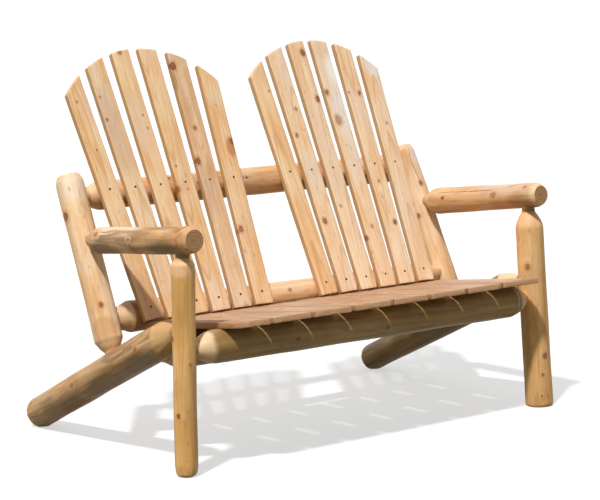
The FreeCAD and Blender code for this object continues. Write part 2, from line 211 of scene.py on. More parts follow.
def addMath(tree, operation, links, second=None):
    # second is the second value, where nothing is linked to it
    settings = {"operation": operation} if second is None else {"operation": operation, 1: second}
    return addNode(tree, "ShaderNodeMath", settings, links)


def addVector(tree, operation, links, settings=None):
    return addNode(tree, "ShaderNodeVectorMath", {"operation": operation, **(settings or {})}, links)


def addRange(tree, source, span, result=(0, 1), kind="LINEAR"):
    # the span of the source's values becomes the result
    return addNode(tree, "ShaderNodeMapRange", {
        "interpolation_type": kind, "From Min": span[0], "From Max": span[1],
        "To Min": result[0], "To Max": result[1]}, {"Value": source})


def addStep(tree, source, span, most=1):
    # nothing where the span starts, and softly up to most where it ends
    return addRange(tree, source, span, (0, most), "SMOOTHSTEP")


def addMix(tree, share, first, second):
    # a share of the second tone over the first; a tone is a colour's text or a node that mixes one
    tones = {6: first, 7: second}
    plain = {place: linear(tone) for place, tone in tones.items() if isinstance(tone, str)}
    mixed = {place: tone.outputs[2] for place, tone in tones.items() if place not in plain}
    return addNode(tree, "ShaderNodeMix", {"data_type": "RGBA", **plain}, {0: share, **mixed})


# northern white cedar, peeled or planed and left bare: pale honey sapwood, tan heartwood, darker late wood
# lines about 3 mm apart, reddish halos round brown knots, and a matt face with the fibres just felt
cedar = {
    "ior": 1.5, "roughness": 0.6, "roughnessChange": (-0.12, 0.14), "roughnessSpan": (0.3, 0.7),
    "ringSpacing": 3.4, "ringDrift": 7, "waver": 1.6, "ringWeight": (0.15, 1.0),
    "lateRise": (0.3, 0.88), "lateEnd": (1.0, 0.88),  # shares of a ring
    "endSpacing": 7.6, "endWaver": 6,  # about every second ring, so that the end grain shows
    "knotHalo": (2.1, 0.8), "knotEdge": (1.05, 0.72), "knotHeart": (0.95, 0.35),  # in a knot's own radii
    "haloShare": 0.42, "heartMottle": (0.3, 0.6), "knotPush": 2.6, "knotReach": 9, "noKnot": 99,
    "raggedAmount": 6, "noiseShift": 9, "barkEdge": 0.05, "pithShare": 0.8, "washBlur": 1.6,
    "washEdge": (2.1, 1.3), "reliefDepth": 0.5, "reliefStrength": 0.8,
    "relief": {"ring": 0.25, "streak": 1.5, "bark": 1.2, "knot": -0.8},  # next to one for the fibres
}

# noises: the width of a light and a dark patch together, the stretch along the grain, detail and roughness
grainNoises = {
    "drift": (90, 0.16, 2, 0.5), "waver": (22, 0.3, 2, 0.5),
    "fibre": (3, 0.025, 3, 0.6),  # real fibres are finer; as coarse as shows
    "streak": (18, 0.06, 4, 0.6), "fleck": (6.8, 0.2, 3, 0.65), "bark": (68, 0.16, 6, 0.68),
    "grey": (110, 0.3, 5, 0.6), "patch": (75, 0.45, 4, 0.55), "ragged": (5, 1, 2, 0.5),
}

# where each tone begins and where it is full: levels of a noise, shares, or cosines of a face's turn
toneSpans = {
    "tone": (0.36, 0.64), "streak": (0.5, 0.72), "light": (0.5, 0.3), "ring": (0, 1), "fibre": (0.5, 0.8),
    "fleck": (0.62, 0.72), "grey": (0.48, 0.62), "side": (0.55, 0.85), "halo": (0, 1), "cut": (0.2, 0.34),
    "end": (0.78, 0.93), "endLine": (-0.4, 1), "pith": (4.5 * mm, 1.5 * mm),
}


def woodMaterial(name, matrix, look, knots, washesAndPaintedShade, seed):
    # matrix is the piece's place; a knot is its place, axis, radius, length share and depth of colour;
    # a wash is its place, its three half sizes, a colour and a share, and some washes are painted shade
    material, tree = newMaterial(name)
    rng = random.Random(seed)
    coordinates = addNode(tree, "ShaderNodeTexCoord")
    local = addNode(tree, "ShaderNodeMapping", {
        "vector_type": "TEXTURE", "Location": matrix.translation, "Rotation": matrix.to_euler()},
        {"Vector": coordinates.outputs["Object"]})

    # each noise is shifted, so that no two pieces show the same figure
    noises = {}
    for title, (width, stretch, detail, roughness) in grainNoises.items():
        shift = [rng.uniform(-cedar["noiseShift"], cedar["noiseShift"]) for _ in range(3)]
        space = addVector(tree, "MULTIPLY_ADD", {0: local}, {1: (1, 1, stretch), 2: shift})
        noises[title] = addNode(tree, "ShaderNodeTexNoise", {
            "Scale": 1000 / width, "Detail": detail, "Roughness": roughness}, {"Vector": space})

    # distance from the pith, bent a little
    bent = addNode(tree, "ShaderNodeMapping", {
        "vector_type": "POINT", "Location": [-value * mm for value in look["pith"]] + [0],
        "Rotation": [math.radians(value) for value in look["tilt"]] + [0]}, {"Vector": local})
    for title, amount in (("drift", cedar["ringDrift"]), ("waver", cedar["waver"])):
        bent = addVector(tree, "MULTIPLY_ADD", {0: noises[title].outputs["Color"], 2: bent},
                         {1: (amount * mm, amount * mm, 0)})
    back = -(cedar["ringDrift"] + cedar["waver"]) / 2 * mm
    flat = addVector(tree, "MULTIPLY_ADD", {0: bent}, {1: (1, 1, 0), 2: (back, back, 0)})
    fromPith = addVector(tree, "LENGTH", {0: flat}).outputs["Value"]

    # knots: each one's distance in its own radii, and how dark it is
    half = cedar["raggedAmount"] / 2 * mm
    raggedLocal = addVector(tree, "MULTIPLY_ADD", {0: noises["ragged"].outputs["Color"], 2: local},
                            {1: [half * 2] * 3})
    nearest = addMath(tree, "ADD", {0: fromPith}, cedar["noKnot"])
    core = addMath(tree, "LESS_THAN", {0: nearest}, 0)
    for place, axis, radius, lengthShare, depth in knots:
        turn = placeMatrix(Vector(), Vector((0, 0, 1)), axis.normalized()).to_euler()
        own = addNode(tree, "ShaderNodeMapping", {
            "vector_type": "TEXTURE", "Location": place + Vector((half, half, half)), "Rotation": turn,
            "Scale": (radius * lengthShare, radius, radius * cedar["knotReach"])}, {"Vector": raggedLocal})
        away = addVector(tree, "LENGTH", {0: own}).outputs["Value"]
        nearest = addMath(tree, "MINIMUM", {0: nearest, 1: away})
        core = addMath(tree, "MAXIMUM", {0: core, 1: addStep(tree, away, cedar["knotEdge"], depth)})
    halo = addStep(tree, nearest, cedar["knotHalo"])

    # growth rings, pushed aside by the knots: a soft early side, a hard late one, each of another weight
    rings = addMath(tree, "DIVIDE", {0: fromPith}, cedar["ringSpacing"] * mm)
    pushed = addMath(tree, "MULTIPLY_ADD", {0: halo, 2: rings}, cedar["knotPush"])
    share = addMath(tree, "FRACT", {0: pushed})
    late = addStep(tree, share, cedar["lateRise"])
    line = addMath(tree, "MULTIPLY", {0: late, 1: addRange(tree, share, cedar["lateEnd"])})
    number = addMath(tree, "FLOOR", {0: pushed})
    odd = addNode(tree, "ShaderNodeTexWhiteNoise", {"noise_dimensions": "1D"}, {"W": number})
    ringLine = addMath(tree, "MULTIPLY", {0: line, 1: addRange(tree, odd, (0, 1), cedar["ringWeight"])})
    endRings = addMath(tree, "DIVIDE", {0: fromPith}, cedar["endSpacing"] * mm)
    endBent = addMath(tree, "MULTIPLY_ADD", {0: noises["waver"], 2: endRings},
                      cedar["endWaver"] / (2 * math.pi))
    endWave = addMath(tree, "SINE", {0: addMath(tree, "MULTIPLY", {0: endBent}, 2 * math.pi)})

    # where each tone lies
    surface = addNode(tree, "ShaderNodeNewGeometry")
    facing = []
    for column in (2, 0):
        dot = addVector(tree, "DOT_PRODUCT", {0: surface.outputs["Normal"]}, {1: matrix.col[column][:3]})
        facing.append(addMath(tree, "ABSOLUTE", {0: dot.outputs["Value"]}))
    lengthwise, sideways = facing
    spans = {**toneSpans, "bark": (look["barkFrom"], look["barkFrom"] + cedar["barkEdge"])}
    masks = {title: addStep(tree, source, spans[title], most) for title, source, most in (
        ("tone", noises["patch"], 1), ("streak", noises["streak"], look["streak"]),
        ("light", noises["streak"], look["light"]), ("ring", ringLine, look["figure"]),
        ("fibre", noises["fibre"], look["fibre"]), ("fleck", noises["fleck"], look["fleck"]),
        ("bark", noises["bark"], look["barkShare"]), ("grey", noises["grey"], look["greyShare"]),
        ("side", sideways, look["sideShadeShare"]), ("halo", halo, cedar["haloShare"]),
        ("cut", lengthwise, look["cutShare"]), ("end", lengthwise, 1),
        ("endLine", endWave, look["endShare"]), ("pith", fromPith, cedar["pithShare"]))}
    inner = addStep(tree, nearest, cedar["knotHeart"])
    mottle = addRange(tree, noises["ragged"], cedar["heartMottle"])
    heart = addMath(tree, "MULTIPLY", {0: inner, 1: mottle})
    knotTone = addMix(tree, heart, look["knot"], look["knotRed"])
    ended = addMix(tree, masks["endLine"], look["end"], look["endLate"])
    ended = addMix(tree, masks["pith"], ended, look["endLate"])
    # the crack share paints the cracks dark: painted shade in their grooves
    crack = addNode(tree, "ShaderNodeAttribute", {"attribute_name": "crack"}).outputs["Fac"]

    # the tones laid over each other, from the wood's own up to the knots, end grain and cracks, whose dark is
    # painted shade
    layers = [(masks["streak"], look["deep"]), (masks["light"], look["bright"]),
              (masks["grey"], look["grey"])]
    for place, extents, tint, most in washesAndPaintedShade:
        own = addNode(tree, "ShaderNodeMapping", {
            "vector_type": "TEXTURE", "Location": place, "Scale": [extent * mm for extent in extents]},
            {"Vector": local})
        away = addVector(tree, "LENGTH", {0: own}).outputs["Value"]
        blurred = addMath(tree, "MULTIPLY_ADD", {0: noises["grey"], 2: away}, cedar["washBlur"])
        layers.append((addStep(tree, blurred, cedar["washEdge"], most), tint))
    # the side tone darkens faces that look across a piece: painted shade on the boards' side faces
    layers += [(masks["side"], look["side"]), (masks["ring"], look["late"]), (masks["fibre"], look["late"]),
               (masks["fleck"], look["knotRed"]), (masks["bark"], look["bark"]), (masks["cut"], look["cut"]),
               (masks["halo"], look["halo"]), (core, knotTone), (masks["end"], ended), (crack, look["knot"])]
    colour = addMix(tree, masks["tone"], look["pale"], look["warm"])
    for mask, tint in layers:
        colour = addMix(tree, mask, colour, tint)

    height = noises["fibre"]
    raised = {"ring": ringLine, "streak": noises["streak"], "bark": masks["bark"], "knot": core}
    for title, weight in cedar["relief"].items():
        height = addMath(tree, "MULTIPLY_ADD", {0: raised[title], 2: height}, weight)
    bump = addNode(tree, "ShaderNodeBump", {
        "Strength": cedar["reliefStrength"], "Distance": cedar["reliefDepth"] * mm}, {"Height": height})
    rough = addRange(tree, noises["streak"], cedar["roughnessSpan"],
                     [cedar["roughness"] + change for change in cedar["roughnessChange"]])
    shader = addNode(tree, "ShaderNodeBsdfPrincipled", {"IOR": cedar["ior"]},
                     {"Base Color": colour.outputs[2], "Roughness": rough, "Normal": bump})
    addNode(tree, "ShaderNodeOutputMaterial", links={"Surface": shader})
    return material


# finishing a piece
sharpAngle = 38


def finishPiece(bm, name, matrix, material, node):
    bmesh.ops.recalc_face_normals(bm, faces=bm.faces)
    bmesh.ops.transform(bm, matrix=matrix, verts=bm.verts)
    if node.startswith(("front_leg", "side_rail")):
        cut = bmesh.ops.bisect_plane(bm, geom=bm.verts[:] + bm.edges[:] + bm.faces[:], plane_co=(0, 0, 0),
                                     plane_no=(0, 0, -1), clear_outer=True)
        rim = [item for item in cut["geom_cut"] if isinstance(item, bmesh.types.BMEdge)]
        bmesh.ops.edgeloop_fill(bm, edges=rim)
        bmesh.ops.recalc_face_normals(bm, faces=bm.faces)
    piece = addMesh(name, bm)
    mesh = piece.data
    mesh.polygons.foreach_set("use_smooth", [True] * len(mesh.polygons))
    mesh.set_sharp_from_angle(angle=math.radians(sharpAngle))
    mesh.materials.append(material)
    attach(piece, "root")
    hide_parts(node)
    return piece


# screws
holeShape = {"radius": 3.7, "depth": 6, "over": 8, "sides": 24, "reach": 3}
samePoint = 0.02  # points nearer than this are one


def readScrews(node):
    # each screw's head centre and outward direction, from the separate solids of the group
    bm = bmesh.new()
    bm.from_mesh(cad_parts[node].data)
    bmesh.ops.remove_doubles(bm, verts=bm.verts, dist=samePoint * mm)
    left, found = set(bm.verts), []
    while left:
        island, edge = set(), {left.pop()}
        while edge:
            island |= edge
            edge = {other.other_vert(vert) for vert in edge for other in vert.link_edges} - island
        left -= island
        points = np.array([vert.co for vert in island])
        middle = points.mean(0)
        axis = np.linalg.svd(points - middle, full_matrices=False)[2][0]
        reach = (points - middle) @ axis
        spread = np.linalg.norm(points - middle - np.outer(reach, axis), axis=1)
        if spread[reach > 0].max() < spread[reach < 0].max():  # the head is the wider end
            axis, reach = -axis, -reach
        found.append((Vector(middle + axis * reach.max()), Vector(axis)))
    bm.free()
    return found


screws = {node: readScrews(node) for node in ("back_screws", "seat_screws")}
print("screws read:", {node: len(found) for node, found in screws.items()})


def onBoard(matrix, size, place):
    local = matrix.inverted() @ place
    return abs(local.x) < size.x / 2 and 0 < local.z < size.z and abs(local.y) < size.y


def onLog(matrix, fine, size, place):
    # only the spare screw's head lies at a log's own surface
    local = matrix.inverted() @ place
    if not fine[0] < local.z < fine[-1]:
        return False
    outer = float(np.interp(local.z, fine, size))
    return abs(math.hypot(local.x, local.y) - outer) < holeShape["reach"] * mm


def cutHoles(piece, found):
    if not found:
        return
    cutter = bmesh.new()
    radius = holeShape["radius"] * mm
    for place, outward in found:
        middle = place + outward * (holeShape["over"] - holeShape["depth"]) / 2 * mm
        turn = Vector((0, 0, 1)).rotation_difference(outward).to_matrix().to_4x4()
        bmesh.ops.create_cone(
            cutter, cap_ends=True, segments=holeShape["sides"], radius1=radius, radius2=radius,
            depth=(holeShape["over"] + holeShape["depth"]) * mm, matrix=Matrix.Translation(middle) @ turn)
    tool = addMesh("cutter", cutter)
    modifier = piece.modifiers.new("cut", "BOOLEAN")
    modifier.object = tool
    modifier.solver = "EXACT"
    evaluated = piece.evaluated_get(bpy.context.evaluated_depsgraph_get())
    result = bpy.data.meshes.new_from_object(evaluated)
    piece.modifiers.clear()
    piece.data = result
    bpy.data.objects.remove(tool)


# logs
logShape = {
    "segments": 104, "bodyStep": 4.5, "endStep": 1.6, "endZone": 38, "soften": 9, "coneBulge": 2.2,
    "swell": 1.5, "swellLength": 150, "stroke": 1.0, "strokeLength": 420, "strokeCount": 3.2,
    "ripple": 0.25, "rippleLength": 22, "rippleCount": 9, "endInset": (0.88, 0.66, 0.42, 0.2),
    "endDish": 0.9, "smallestEnd": 26, "profileStep": 0.5, "coneShare": 0.7, "axisRadius": 0.5,
    "samePoint": 0.01, "fullFrom": 0.62, "fullOver": 0.3,  # ends thinner than this share of the log stay even
    "footRun": 8, "footLength": 10, "footDepth": 2, "knotPixels": (), "washesAndPaintedShade": (), "cracks": (),
    "bulges": (), "seedShift": (3.7, 1.3, 0), "crackDepth": 2.4, "crackFace": 0.9,
    "knotRise": 1.0, "riseReach": 2.6, "knotSink": 0.9, "sinkReach": 0.9, "knotLength": 1.25,
    "hiddenKnots": {"tries": 3, "places": (0.12, 0.88), "turn": 1.7, "radii": (3.5, 8), "depths": (0.5, 0.9)},
}
crackWaves = {"long": 95, "short": 410, "shortReach": 0.3}
rayRounds = 4  # tries of a pixel's ray against the log's radius


def softProfile(stations, settings):
    # the turned profile with its corners worn round and its cones a little full
    distances, radii = np.array(stations).T
    fine = np.arange(distances[0], distances[-1], settings["profileStep"] * mm)
    size = np.interp(fine, distances, radii)
    widest = np.median(radii)
    narrow = radii.min()
    if narrow < settings["coneShare"] * widest:
        rise = np.clip((size - narrow) / (widest - narrow), 0, 1)
        size += settings["coneBulge"] * mm * 4 * rise * (1 - rise)
    count = int(settings["soften"] * 2) | 1
    weights = np.hanning(count + 2)[1:-1]
    padded = np.pad(size, count // 2, mode="edge")
    size = np.convolve(padded, weights / weights.sum(), "valid")
    if "footTaper" in settings:  # a leg's foot is worn round where it stands
        below = np.clip(1 - fine / (settings["footLength"] * mm), 0, 1)
        size -= settings["footDepth"] * mm * (1 - np.sqrt(1 - below ** 2))
    return fine, size


def logStations(fine, size, freeEnds, settings):
    # distances of the rings: close together at free ends and cones, wider along the body
    steps = []
    distance, last = fine[0], fine[-1]
    while distance < last:
        steps.append(distance)
        near = distance - fine[0] < settings["endZone"] * mm or last - distance < settings["endZone"] * mm
        distance += (settings["endStep"] if near else settings["bodyStep"]) * mm
    steps.append(last)
    profile = [(step, float(np.interp(step, fine, size))) for step in steps]
    first, final = profile[0], profile[-1]
    dishes = [(share, (1 - share) * settings["endDish"] * mm) for share in settings["endInset"]]
    before = [(first[0] + (dish if freeEnds[0] else 0), first[1] * share) for share, dish in reversed(dishes)]
    after = [(final[0] - (dish if freeEnds[1] else 0), final[1] * share) for share, dish in dishes]
    return before + profile + after


def pixelOnLog(matrix, stations, pixel):
    # where the photograph's ray through a pixel meets the log: (distance along it, angle about it)
    inverse = matrix.inverted()
    eye = inverse @ cameraPlace
    ray = inverse.to_3x3() @ pixelRay(pixel)
    distances, radii = np.array(stations).T
    flat = ray.x ** 2 + ray.y ** 2
    reach = -(eye.x * ray.x + eye.y * ray.y) / flat
    nearest = Vector((eye.x + ray.x * reach, eye.y + ray.y * reach)).length
    for _ in range(rayRounds):
        radius = float(np.interp(eye.z + ray.z * reach, distances, radii))
        reach = -(eye.x * ray.x + eye.y * ray.y) / flat - math.sqrt(max(0, radius ** 2 - nearest ** 2) / flat)
    hit = eye + ray * reach
    return hit.z, math.atan2(hit.y, hit.x)


def turnsApart(first, second):
    return (first - second + math.pi) % (2 * math.pi) - math.pi


def nearCrack(crack, distance, angle, radius, spacing):
    # a drying crack wanders and closes towards its ends; a ring's nearest point moves onto its line and the
    # two beside that onto its rims; gives the point's new angle and its share of the depth
    points = crack["points"]
    if not points[0][0] < distance < points[-1][0]:
        return angle, 0
    waves = crack["wander"] * mm / radius * math.sin(distance * crackWaves["long"])
    waves += crackWaves["shortReach"] * mm / radius * math.sin(distance * crackWaves["short"])
    middle = np.interp(distance, *zip(*points)) + waves
    left = min(distance - points[0][0], points[-1][0] - distance) / (crack["taper"] * mm)
    steps = round(turnsApart(angle, middle) / spacing)
    if abs(steps) > 1:
        return angle, 0
    opened = min(1, left) ** 0.5
    return middle + steps * (crack["width"] * mm / 2 / radius * opened), (1 - abs(steps)) * opened


def makeLog(node, look, settings):
    own = {**logShape, **settings}
    matrix, stations = readLog(node, own["lengthwise"], own["across"])
    freeEnds = [stations[place][1] > own["smallestEnd"] * mm for place in (0, -1)]
    if node.startswith("front_leg"):  # the foot runs on below the ground, and is cut off there
        stations = [(-own["footRun"] * mm, stations[0][1] - own["footTaper"] * mm)] + stations
    fine, size = softProfile(stations, own)
    profile = logStations(fine, size, freeEnds, own)
    body = max(radius for _, radius in stations)
    seed = Vector([own["seed"] * shift for shift in own["seedShift"]])

    knots = [(*pixelOnLog(matrix, stations, pixel), radius, depth)
             for pixel, radius, depth in own["knotPixels"]]
    rng = random.Random(own["seed"])
    hidden = own["hiddenKnots"]
    toEye = matrix.inverted().to_3x3() @ -viewForward
    for _ in range(hidden["tries"]):
        share, turn = rng.uniform(*hidden["places"]), rng.uniform(-math.pi, math.pi)
        if abs(turnsApart(turn, math.atan2(toEye.y, toEye.x))) > hidden["turn"]:
            radius, depth = rng.uniform(*hidden["radii"]), rng.uniform(*hidden["depths"])
            knots.append((along(fine[0], fine[-1], share), turn, radius, depth))
    cracks = [{**crack, "points": sorted(pixelOnLog(matrix, stations, pixel) for pixel in crack["pixels"])}
              for crack in own["cracks"]]

    bm = bmesh.new()
    chain = [bm.verts.new((0, 0, profile[0][0]))]
    chain += [bm.verts.new((radius, 0, distance)) for distance, radius in profile]
    chain.append(bm.verts.new((0, 0, profile[-1][0])))
    edges = [bm.edges.new(pair) for pair in zip(chain, chain[1:])]
    bmesh.ops.spin(bm, geom=chain + edges, cent=(0, 0, 0), axis=(0, 0, 1), dvec=(0, 0, 0),
                   angle=2 * math.pi, steps=own["segments"], use_merge=True, use_duplicate=False)
    bmesh.ops.remove_doubles(bm, verts=bm.verts, dist=own["samePoint"] * mm)
    layer = bm.verts.layers.float.new("crack")
    for vert in bm.verts:
        radius = math.hypot(vert.co.x, vert.co.y)
        if radius < own["axisRadius"] * mm:
            continue
        distance, angle = vert.co.z, math.atan2(vert.co.y, vert.co.x)
        outer = float(np.interp(distance, fine, size))
        deep = 0
        if radius > own["crackFace"] * outer:
            for crack in cracks:
                angle, depth = nearCrack(crack, distance, angle, outer, 2 * math.pi / own["segments"])
                deep = max(deep, depth)
        cosine, sine = math.cos(angle), math.sin(angle)
        full = max(0, min(1, (outer / body - own["fullFrom"]) / own["fullOver"])) * radius / outer
        move = own["swell"] * noise.noise(Vector((cosine, sine, distance / (own["swellLength"] * mm))) + seed)
        stroke = Vector((cosine, sine, 0)) * own["strokeCount"]
        stroke.z = distance / (own["strokeLength"] * mm) * own["strokeCount"]
        move += own["stroke"] * noise.noise(stroke + seed)
        count = own["rippleCount"]
        ripple = Vector((cosine * count, sine * count, distance / (own["rippleLength"] * mm)))
        move += own["ripple"] * noise.noise(ripple + seed)
        for place, turn, spread, _ in knots:
            span = math.hypot(distance - place, turnsApart(angle, turn) * outer) / (spread * mm)
            sink = own["knotSink"] * math.exp(-(span / own["sinkReach"]) ** 2)
            move += own["knotRise"] * (math.exp(-(span / own["riseReach"]) ** 2) - sink)
        for bulge in own["bulges"]:
            span = (distance - bulge["place"] * mm) / (bulge["length"] * mm)
            turn = turnsApart(angle, math.radians(bulge["turn"]))
            move += bulge["rise"] * math.exp(-span ** 2) * max(0, math.cos(turn)) ** 2
        vert[layer] = deep
        radius += (move * full - deep * own["crackDepth"]) * mm
        vert.co = (cosine * radius, sine * radius, distance)
    shown = []
    for place, turn, radius, depth in knots:
        outer = float(np.interp(place, fine, size))
        outward = Vector((math.cos(turn), math.sin(turn), 0))
        middle = outward * outer + Vector((0, 0, place))
        shown.append((middle, outward, radius * mm, own["knotLength"], depth))
    washesAndPaintedShade = []
    for pixel, extents, tint, share in own["washesAndPaintedShade"]:
        place, turn = pixelOnLog(matrix, stations, pixel)
        outer = float(np.interp(place, fine, size))
        washesAndPaintedShade.append((Vector((math.cos(turn) * outer, math.sin(turn) * outer, place)), extents, tint, share))
    title = "peeled cedar, " + node.replace("_", " ")
    material = woodMaterial(title, matrix, look, shown, washesAndPaintedShade, own["seed"])
    piece = finishPiece(bm, "log_" + node, matrix, material, node)
    cutHoles(piece, [screw for screw in screws["back_screws"] if onLog(matrix, fine, size, screw[0])])


# colours of bare cedar, as they look in even light, but for the last, which is darker with painted shade
paleLog = {
    "pale": "#f2cb9b", "warm": "#e0ab71", "deep": "#c98d50", "bright": "#f9e2c2", "late": "#bd8148",
    "streak": 0.5, "light": 0.5, "figure": 0.35, "fibre": 0.4, "fleck": 0.5,
    "grey": "#e3d2c2", "greyShare": 0.35, "bark": "#a5673a", "barkFrom": 0.6, "barkShare": 0.45,
    "side": "#c99562", "sideShadeShare": 0, "cut": "#ebc598", "cutShare": 0.7,
    "halo": "#bd7540", "knot": "#3f2211", "knotRed": "#a15a2c", "end": "#b98a5a", "endLate": "#6b4829",
    "endShare": 0.6, "pith": (3, -2), "tilt": (0.5, 0.4),
}
tanLog = {
    **paleLog, "pale": "#f3c17c", "warm": "#e2ab62", "deep": "#c08945", "bright": "#f6d39c",
    "late": "#b0793c", "grey": "#d8bb8c", "greyShare": 0.2, "bark": "#a0662f", "cut": "#efc28c",
}
brownLog = {
    **paleLog, "pale": "#cb9f69", "warm": "#b0834f", "deep": "#8e6336", "bright": "#dfb884",
    "late": "#825a30", "grey": "#bba382", "greyShare": 0.3, "bark": "#79502b", "barkFrom": 0.56,
    "cut": "#d2a570", "cutShare": 0.5,
}
# darker all over: painted shade for the logs under the seat, whose cut cones keep a pale tone
paintedShadeLog = {
    **brownLog, "pale": "#a5824c", "warm": "#93713d", "deep": "#77592d", "bright": "#b8965f",
    "late": "#6a4e26", "grey": "#8d774c", "knotRed": "#5a3c22", "halo": "#8a6334", "cut": "#efcaa0",
    "cutShare": 0.9,
}

upright = {"lengthwise": (0, 0, 1), "across": (0, -1, 0)}
level = {"lengthwise": (1, 0, 0), "across": (0, -1, 0)}
endlong = {"lengthwise": (0, -1, 0), "across": (0, 0, 1)}
sloping = {"lengthwise": (0, 1, 0), "across": (0, 0, 1)}

# each log's look, and what the photograph shows on it: knots as (pixel, radius, depth of colour),
# washes of another tone as (pixel, half sizes, colour, share), some of them painted shade, drying cracks and
# bulges
logs = {
    "front_leg_left": (tanLog, {
        **upright, "seed": 3, "footTaper": 5, "footLength": 36, "footDepth": 10, "swell": 1.0, "coneBulge": 5,
        "knotPixels": (((173, 339), 6, 0.9), ((178.5, 416.5), 6, 0.9), ((190, 365), 3, 0.4)),
        # the dark wash on the neck under the arm is a painted shadow of the arm
        "washesAndPaintedShade": (((178, 300), (30, 30, 90), "#c89850", 0.5), ((190, 440), (30, 30, 70), "#d39c55", 0.5),
                   ((181, 270), (40, 40, 20), "#f6c697", 0.9), ((183, 257), (30, 30, 14), "#6d5430", 0.9))}),
    "front_leg_right": ({
        **tanLog, "pale": "#f4c184", "warm": "#e3aa66", "grey": "#e3c495", "cut": "#eebd8d"}, {
        **upright, "seed": 8, "footTaper": 1.5, "swell": 1.6, "coneBulge": 3.4,
        "knotPixels": (((528, 267), 8, 0.6), ((545, 356), 8, 0.8), ((543, 375), 4, 0.7),
                       ((542, 396), 3, 0.7)),
        # the dark wash on the neck under the arm is a painted shadow of the arm
        "washesAndPaintedShade": (((532, 210), (30, 30, 16), "#7a5f38", 0.9), ((528, 224), (30, 30, 20), "#efb987", 0.7)),
        "bulges": ({"place": 430, "length": 60, "turn": -70, "rise": 3},)}),
    "side_rail_left": ({**brownLog, "barkShare": 0.8, "streak": 0.8, "fleck": 0.8, "figure": 0.7}, {
        **sloping, "seed": 14, "swell": 2.2, "stroke": 1.8,
        "knotPixels": (((135, 350), 7, 0.6), ((72, 386), 8, 0.5)),
        # the four dark washes along the underside are painted shade
        "washesAndPaintedShade": (((60, 385), (40, 60, 80), "#c3935f", 0.6), ((155, 322), (40, 50, 60), "#cf9d66", 0.7),
                   ((120, 346), (26, 40, 90), "#cc9a60", 0.6), ((50, 408), (40, 34, 60), "#85693a", 0.8),
                   ((70, 404), (34, 34, 80), "#6f5729", 0.9), ((104, 385), (36, 34, 100), "#6a5326", 0.9),
                   ((140, 364), (36, 34, 90), "#624c24", 0.9))}),
    # painted shade: this rail takes the darker look for the seat's shade
    "side_rail_right": (paintedShadeLog, {**sloping, "seed": 15, "swell": 2}),
    "back_post_left": ({**paleLog, "pale": "#f6d3a8", "warm": "#e9b880"}, {
        **upright, "seed": 21, "segments": 180,
        "knotPixels": (((66, 217), 11, 0.85), ((101, 305), 7, 0.8)),
        "washesAndPaintedShade": (((75, 185), (50, 50, 50), "#f8e6cf", 0.7), ((104, 327), (50, 50, 30), "#c58c52", 0.6)),
        "cracks": ({"pixels": ((81, 184), (86, 198), (92, 215), (98, 240)),
                    "width": 3.2, "wander": 0.6, "taper": 40},)}),
    "back_post_right": (paleLog, {
        **upright, "seed": 22, "segments": 180,
        "knotPixels": (((421, 183), 7, 0.8), ((418.5, 216), 7, 0.7)),
        "washesAndPaintedShade": (((417, 152), (45, 45, 70), "#f3e3d0", 0.8),),
        "cracks": ({"pixels": ((404, 141), (409, 150), (411, 162), (418, 176), (421, 190)),
                    "width": 2.8, "wander": 0.8, "taper": 45},)}),
    "arm_left": ({**brownLog, "pale": "#e3b888", "warm": "#c49662", "deep": "#9e6f3f", "bright": "#edcda4",
                  "grey": "#d8bc9c", "greyShare": 0.45, "cut": "#d6a576", "barkFrom": 0.6, "figure": 0.9}, {
        **endlong, "seed": 31, "knotPixels": (((96, 234), 8, 0.5), ((128, 240), 6, 0.5)),
        # the two dark washes along the underside are painted shade
        "washesAndPaintedShade": (((180, 232), (50, 50, 45), "#d79c68", 0.7), ((120, 228), (34, 40, 110), "#f3d3b0", 0.8),
                   ((105, 252), (32, 36, 80), "#6b511f", 0.9), ((165, 252), (32, 36, 80), "#664d1e", 0.9))}),
    "arm_right": ({**paleLog, "pale": "#dcae7c", "warm": "#c9985f", "deep": "#ab7742", "grey": "#cdb59e",
                   "bright": "#e3c7a2", "greyShare": 0.5}, {
        **endlong, "seed": 36, "segments": 180,
        "knotPixels": (((442.5, 198), 6, 0.9), ((493, 195), 9, 0.5), ((525, 187), 6, 0.5)),
        # the dark wash where the arm meets the right leg is painted shade
        "washesAndPaintedShade": (((500, 187), (30, 40, 120), "#d3baa2", 0.6), ((520, 203), (40, 40, 60), "#9c6a38", 0.6),
                   ((534, 208), (34, 30, 34), "#5f4726", 0.9), ((450, 213), (30, 24, 80), "#b27a3e", 0.8)),
        "cracks": ({"pixels": ((437, 192.4), (462, 191.7), (494, 190.2)),
                    "width": 2.6, "wander": 0.4, "taper": 30},
                   {"pixels": ((506, 187.5), (518, 184.6), (531, 183)),
                    "width": 3.4, "wander": 0.8, "taper": 12})}),
    # painted shade: both seat rails take the darker look for the seat's shade
    "front_seat_rail": (paintedShadeLog, {
        **level, "seed": 41, "coneBulge": 5, "knotPixels": (((298, 339), 6, 0.8), ((387.5, 327.5), 7, 0.7))}),
    "rear_seat_rail": (paintedShadeLog, {**level, "seed": 42, "coneBulge": 3}),
    "lower_back_rail": ({**paleLog, "pale": "#e9c196", "warm": "#d9a771"}, {
        **level, "seed": 43, "knotPixels": (((290, 290), 5, 0.6),),
        # both dark washes on the left end are a painted shadow of the arm
        "washesAndPaintedShade": (((130, 315), (110, 60, 60), "#8a6440", 0.85),
                   ((115, 307), (40, 50, 60), "#5d4c33", 0.9))}),
    "upper_back_rail": ({**paleLog, "pale": "#e8b98a", "warm": "#cf9a62", "deep": "#b37d48"}, {
        **level, "seed": 46, "knotPixels": (((169, 190), 8, 0.8), ((168, 178), 8, 0.7), ((199, 183), 6, 0.7)),
        "washesAndPaintedShade": (((150, 182), (60, 50, 120), "#e2995c", 0.6), ((100, 205), (90, 60, 60), "#a5743f", 0.8),
                   ((240, 178), (80, 60, 60), "#d9b68c", 0.6))}),
}
